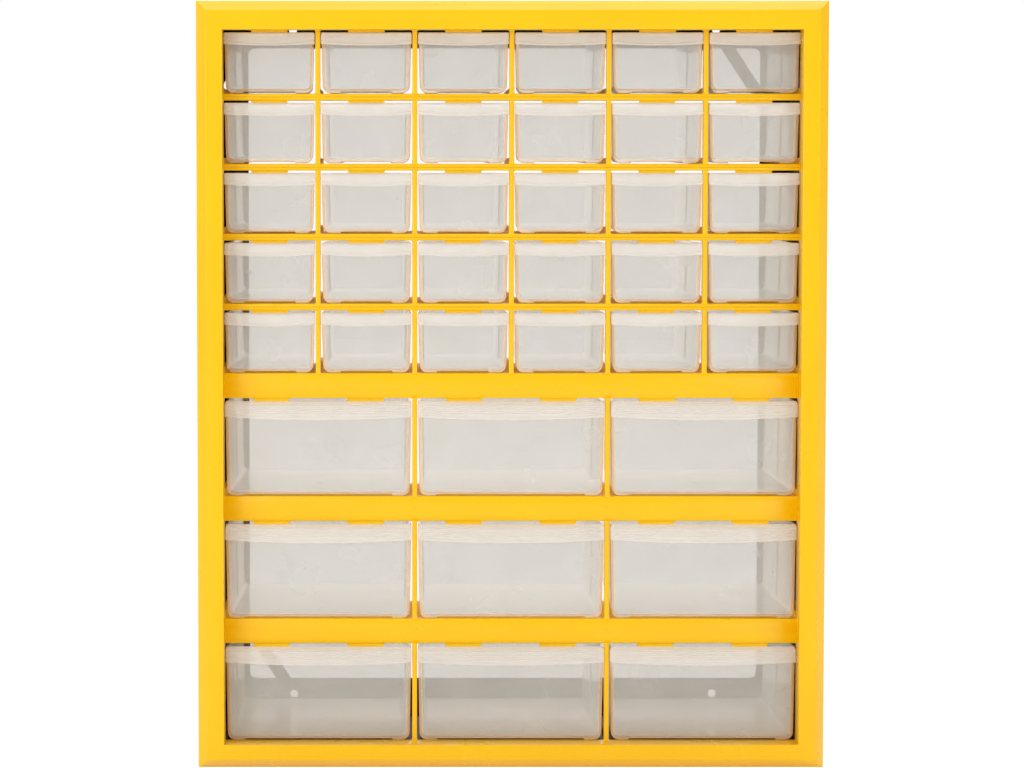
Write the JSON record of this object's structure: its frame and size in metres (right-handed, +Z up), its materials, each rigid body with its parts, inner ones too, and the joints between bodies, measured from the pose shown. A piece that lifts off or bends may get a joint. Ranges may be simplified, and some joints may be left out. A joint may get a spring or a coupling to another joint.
{
  "type": "parts bin cabinet",
  "caption": "Wall or bench cabinet of small and large clear pull-out drawers behind a bevelled yellow front frame, with a black open-backed housing.",
  "frame": {"origin": "middle of the base, on the surface that the cabinet stands on", "axes": "+Z up; the drawers open towards -Y; +X is to the right when facing the drawers"},
  "size_m": [0.365, 0.155, 0.446],
  "materials": {
    "yellow_plastic": "semi-gloss injection-moulded plastic, golden yellow",
    "black_plastic": "satin injection-moulded plastic, black",
    "clear_plastic": "milky translucent injection-moulded polypropylene, semi-gloss"
  },
  "bodies": {
    "cabinet": {"bezel": "yellow_plastic", "thin_bars": "yellow_plastic", "thick_bars": "yellow_plastic", "small_posts": "yellow_plastic", "large_posts": "yellow_plastic", "shelf_1": "yellow_plastic", "shelf_2": "yellow_plastic", "shelf_3": "yellow_plastic", "shelf_4": "yellow_plastic", "shelf_5": "yellow_plastic", "shelf_6": "yellow_plastic", "shelf_7": "yellow_plastic", "floor_shelf": "black_plastic", "housing_left": "black_plastic", "housing_right": "black_plastic", "housing_top": "black_plastic", "housing_base": "black_plastic", "back_frame": "black_plastic", "back_braces": "black_plastic"},
    "small_drawer_r1c1": {"small_drawer_r1c1": "clear_plastic"},
    "small_drawer_r1c2": {"small_drawer_r1c2": "clear_plastic"},
    "small_drawer_r1c3": {"small_drawer_r1c3": "clear_plastic"},
    "small_drawer_r1c4": {"small_drawer_r1c4": "clear_plastic"},
    "small_drawer_r1c5": {"small_drawer_r1c5": "clear_plastic"},
    "small_drawer_r1c6": {"small_drawer_r1c6": "clear_plastic"},
    "small_drawer_r2c1": {"small_drawer_r2c1": "clear_plastic"},
    "small_drawer_r2c2": {"small_drawer_r2c2": "clear_plastic"},
    "small_drawer_r2c3": {"small_drawer_r2c3": "clear_plastic"},
    "small_drawer_r2c4": {"small_drawer_r2c4": "clear_plastic"},
    "small_drawer_r2c5": {"small_drawer_r2c5": "clear_plastic"},
    "small_drawer_r2c6": {"small_drawer_r2c6": "clear_plastic"},
    "small_drawer_r3c1": {"small_drawer_r3c1": "clear_plastic"},
    "small_drawer_r3c2": {"small_drawer_r3c2": "clear_plastic"},
    "small_drawer_r3c3": {"small_drawer_r3c3": "clear_plastic"},
    "small_drawer_r3c4": {"small_drawer_r3c4": "clear_plastic"},
    "small_drawer_r3c5": {"small_drawer_r3c5": "clear_plastic"},
    "small_drawer_r3c6": {"small_drawer_r3c6": "clear_plastic"},
    "small_drawer_r4c1": {"small_drawer_r4c1": "clear_plastic"},
    "small_drawer_r4c2": {"small_drawer_r4c2": "clear_plastic"},
    "small_drawer_r4c3": {"small_drawer_r4c3": "clear_plastic"},
    "small_drawer_r4c4": {"small_drawer_r4c4": "clear_plastic"},
    "small_drawer_r4c5": {"small_drawer_r4c5": "clear_plastic"},
    "small_drawer_r4c6": {"small_drawer_r4c6": "clear_plastic"},
    "small_drawer_r5c1": {"small_drawer_r5c1": "clear_plastic"},
    "small_drawer_r5c2": {"small_drawer_r5c2": "clear_plastic"},
    "small_drawer_r5c3": {"small_drawer_r5c3": "clear_plastic"},
    "small_drawer_r5c4": {"small_drawer_r5c4": "clear_plastic"},
    "small_drawer_r5c5": {"small_drawer_r5c5": "clear_plastic"},
    "small_drawer_r5c6": {"small_drawer_r5c6": "clear_plastic"},
    "large_drawer_r1c1": {"large_drawer_r1c1": "clear_plastic"},
    "large_drawer_r1c2": {"large_drawer_r1c2": "clear_plastic"},
    "large_drawer_r1c3": {"large_drawer_r1c3": "clear_plastic"},
    "large_drawer_r2c1": {"large_drawer_r2c1": "clear_plastic"},
    "large_drawer_r2c2": {"large_drawer_r2c2": "clear_plastic"},
    "large_drawer_r2c3": {"large_drawer_r2c3": "clear_plastic"},
    "large_drawer_r3c1": {"large_drawer_r3c1": "clear_plastic"},
    "large_drawer_r3c2": {"large_drawer_r3c2": "clear_plastic"},
    "large_drawer_r3c3": {"large_drawer_r3c3": "clear_plastic"}
  },
  "joints": [
    {"name": "small_drawer_r1c1_slide", "type": "slide", "parent": "cabinet", "child": "small_drawer_r1c1", "axis": [0, -1, 0], "range_m": [0, 0.13]},
    {"name": "small_drawer_r1c2_slide", "type": "slide", "parent": "cabinet", "child": "small_drawer_r1c2", "axis": [0, -1, 0], "range_m": [0, 0.13]},
    {"name": "small_drawer_r1c3_slide", "type": "slide", "parent": "cabinet", "child": "small_drawer_r1c3", "axis": [0, -1, 0], "range_m": [0, 0.13]},
    {"name": "small_drawer_r1c4_slide", "type": "slide", "parent": "cabinet", "child": "small_drawer_r1c4", "axis": [0, -1, 0], "range_m": [0, 0.13]},
    {"name": "small_drawer_r1c5_slide", "type": "slide", "parent": "cabinet", "child": "small_drawer_r1c5", "axis": [0, -1, 0], "range_m": [0, 0.13]},
    {"name": "small_drawer_r1c6_slide", "type": "slide", "parent": "cabinet", "child": "small_drawer_r1c6", "axis": [0, -1, 0], "range_m": [0, 0.13]},
    {"name": "small_drawer_r2c1_slide", "type": "slide", "parent": "cabinet", "child": "small_drawer_r2c1", "axis": [0, -1, 0], "range_m": [0, 0.13]},
    {"name": "small_drawer_r2c2_slide", "type": "slide", "parent": "cabinet", "child": "small_drawer_r2c2", "axis": [0, -1, 0], "range_m": [0, 0.13]},
    {"name": "small_drawer_r2c3_slide", "type": "slide", "parent": "cabinet", "child": "small_drawer_r2c3", "axis": [0, -1, 0], "range_m": [0, 0.13]},
    {"name": "small_drawer_r2c4_slide", "type": "slide", "parent": "cabinet", "child": "small_drawer_r2c4", "axis": [0, -1, 0], "range_m": [0, 0.13]},
    {"name": "small_drawer_r2c5_slide", "type": "slide", "parent": "cabinet", "child": "small_drawer_r2c5", "axis": [0, -1, 0], "range_m": [0, 0.13]},
    {"name": "small_drawer_r2c6_slide", "type": "slide", "parent": "cabinet", "child": "small_drawer_r2c6", "axis": [0, -1, 0], "range_m": [0, 0.13]},
    {"name": "small_drawer_r3c1_slide", "type": "slide", "parent": "cabinet", "child": "small_drawer_r3c1", "axis": [0, -1, 0], "range_m": [0, 0.13]},
    {"name": "small_drawer_r3c2_slide", "type": "slide", "parent": "cabinet", "child": "small_drawer_r3c2", "axis": [0, -1, 0], "range_m": [0, 0.13]},
    {"name": "small_drawer_r3c3_slide", "type": "slide", "parent": "cabinet", "child": "small_drawer_r3c3", "axis": [0, -1, 0], "range_m": [0, 0.13]},
    {"name": "small_drawer_r3c4_slide", "type": "slide", "parent": "cabinet", "child": "small_drawer_r3c4", "axis": [0, -1, 0], "range_m": [0, 0.13]},
    {"name": "small_drawer_r3c5_slide", "type": "slide", "parent": "cabinet", "child": "small_drawer_r3c5", "axis": [0, -1, 0], "range_m": [0, 0.13]},
    {"name": "small_drawer_r3c6_slide", "type": "slide", "parent": "cabinet", "child": "small_drawer_r3c6", "axis": [0, -1, 0], "range_m": [0, 0.13]},
    {"name": "small_drawer_r4c1_slide", "type": "slide", "parent": "cabinet", "child": "small_drawer_r4c1", "axis": [0, -1, 0], "range_m": [0, 0.13]},
    {"name": "small_drawer_r4c2_slide", "type": "slide", "parent": "cabinet", "child": "small_drawer_r4c2", "axis": [0, -1, 0], "range_m": [0, 0.13]},
    {"name": "small_drawer_r4c3_slide", "type": "slide", "parent": "cabinet", "child": "small_drawer_r4c3", "axis": [0, -1, 0], "range_m": [0, 0.13]},
    {"name": "small_drawer_r4c4_slide", "type": "slide", "parent": "cabinet", "child": "small_drawer_r4c4", "axis": [0, -1, 0], "range_m": [0, 0.13]},
    {"name": "small_drawer_r4c5_slide", "type": "slide", "parent": "cabinet", "child": "small_drawer_r4c5", "axis": [0, -1, 0], "range_m": [0, 0.13]},
    {"name": "small_drawer_r4c6_slide", "type": "slide", "parent": "cabinet", "child": "small_drawer_r4c6", "axis": [0, -1, 0], "range_m": [0, 0.13]},
    {"name": "small_drawer_r5c1_slide", "type": "slide", "parent": "cabinet", "child": "small_drawer_r5c1", "axis": [0, -1, 0], "range_m": [0, 0.13]},
    {"name": "small_drawer_r5c2_slide", "type": "slide", "parent": "cabinet", "child": "small_drawer_r5c2", "axis": [0, -1, 0], "range_m": [0, 0.13]},
    {"name": "small_drawer_r5c3_slide", "type": "slide", "parent": "cabinet", "child": "small_drawer_r5c3", "axis": [0, -1, 0], "range_m": [0, 0.13]},
    {"name": "small_drawer_r5c4_slide", "type": "slide", "parent": "cabinet", "child": "small_drawer_r5c4", "axis": [0, -1, 0], "range_m": [0, 0.13]},
    {"name": "small_drawer_r5c5_slide", "type": "slide", "parent": "cabinet", "child": "small_drawer_r5c5", "axis": [0, -1, 0], "range_m": [0, 0.13]},
    {"name": "small_drawer_r5c6_slide", "type": "slide", "parent": "cabinet", "child": "small_drawer_r5c6", "axis": [0, -1, 0], "range_m": [0, 0.13]},
    {"name": "large_drawer_r1c1_slide", "type": "slide", "parent": "cabinet", "child": "large_drawer_r1c1", "axis": [0, -1, 0], "range_m": [0, 0.13]},
    {"name": "large_drawer_r1c2_slide", "type": "slide", "parent": "cabinet", "child": "large_drawer_r1c2", "axis": [0, -1, 0], "range_m": [0, 0.13]},
    {"name": "large_drawer_r1c3_slide", "type": "slide", "parent": "cabinet", "child": "large_drawer_r1c3", "axis": [0, -1, 0], "range_m": [0, 0.13]},
    {"name": "large_drawer_r2c1_slide", "type": "slide", "parent": "cabinet", "child": "large_drawer_r2c1", "axis": [0, -1, 0], "range_m": [0, 0.13]},
    {"name": "large_drawer_r2c2_slide", "type": "slide", "parent": "cabinet", "child": "large_drawer_r2c2", "axis": [0, -1, 0], "range_m": [0, 0.13]},
    {"name": "large_drawer_r2c3_slide", "type": "slide", "parent": "cabinet", "child": "large_drawer_r2c3", "axis": [0, -1, 0], "range_m": [0, 0.13]},
    {"name": "large_drawer_r3c1_slide", "type": "slide", "parent": "cabinet", "child": "large_drawer_r3c1", "axis": [0, -1, 0], "range_m": [0, 0.13]},
    {"name": "large_drawer_r3c2_slide", "type": "slide", "parent": "cabinet", "child": "large_drawer_r3c2", "axis": [0, -1, 0], "range_m": [0, 0.13]},
    {"name": "large_drawer_r3c3_slide", "type": "slide", "parent": "cabinet", "child": "large_drawer_r3c3", "axis": [0, -1, 0], "range_m": [0, 0.13]}
  ]
}
